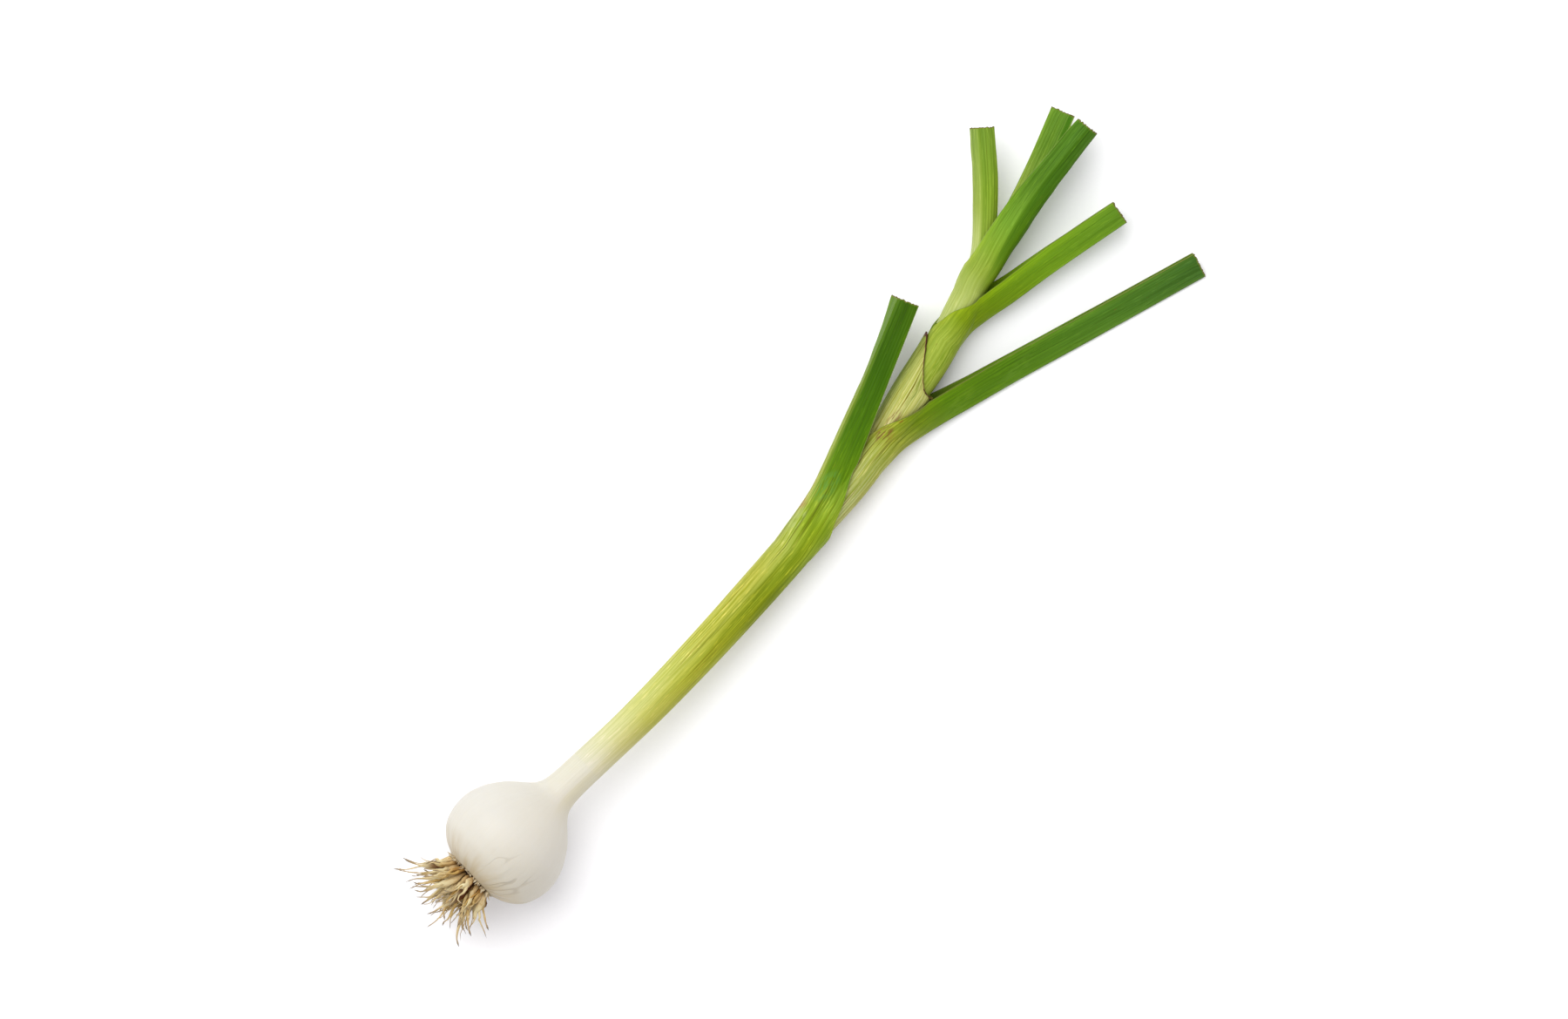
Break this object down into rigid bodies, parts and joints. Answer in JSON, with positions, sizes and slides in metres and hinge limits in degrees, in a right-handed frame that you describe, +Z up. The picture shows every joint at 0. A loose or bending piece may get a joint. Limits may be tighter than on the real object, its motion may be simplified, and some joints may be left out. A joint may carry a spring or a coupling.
{
  "type": "green garlic plant (one plant with bulb, roots and trimmed leaves, lying down)",
  "caption": "Green garlic plant lying down: round white bulb with a tuft of tan roots, long stem of leaf sheaths and fanned green leaves cut square at their ends.",
  "frame": {"origin": "on the small flat that the bulb rests on, below the bulb's axis", "axes": "+X along the plant from its roots to the cut ends of its leaves, +Z up from the surface"},
  "size_m": [0.359, 0.0955, 0.0431],
  "materials": {
    "bulb_white": "smooth white skin of a fresh bulb, satin",
    "root_tan": "dry tan roots, matt",
    "stem_green": "waxy leaf skin, pale yellow at its foot to mid green, finely ribbed",
    "leaf_dark_green": "waxy dark green leaf skin, finely ribbed",
    "sheath_pale_green": "pale striped leaf skin with a brown dried rim",
    "leaf_bright_green": "waxy bright green leaf skin, finely ribbed"
  },
  "bodies": {
    "root": {"bulb": "bulb_white", "roots": "root_tan", "leaf_1": "stem_green", "leaf_2": "leaf_dark_green", "leaf_3": "sheath_pale_green", "leaf_4": "leaf_bright_green", "leaf_5": "leaf_dark_green", "leaf_6": "leaf_bright_green", "leaf_7": "leaf_dark_green"}
  },
  "joints": []
}
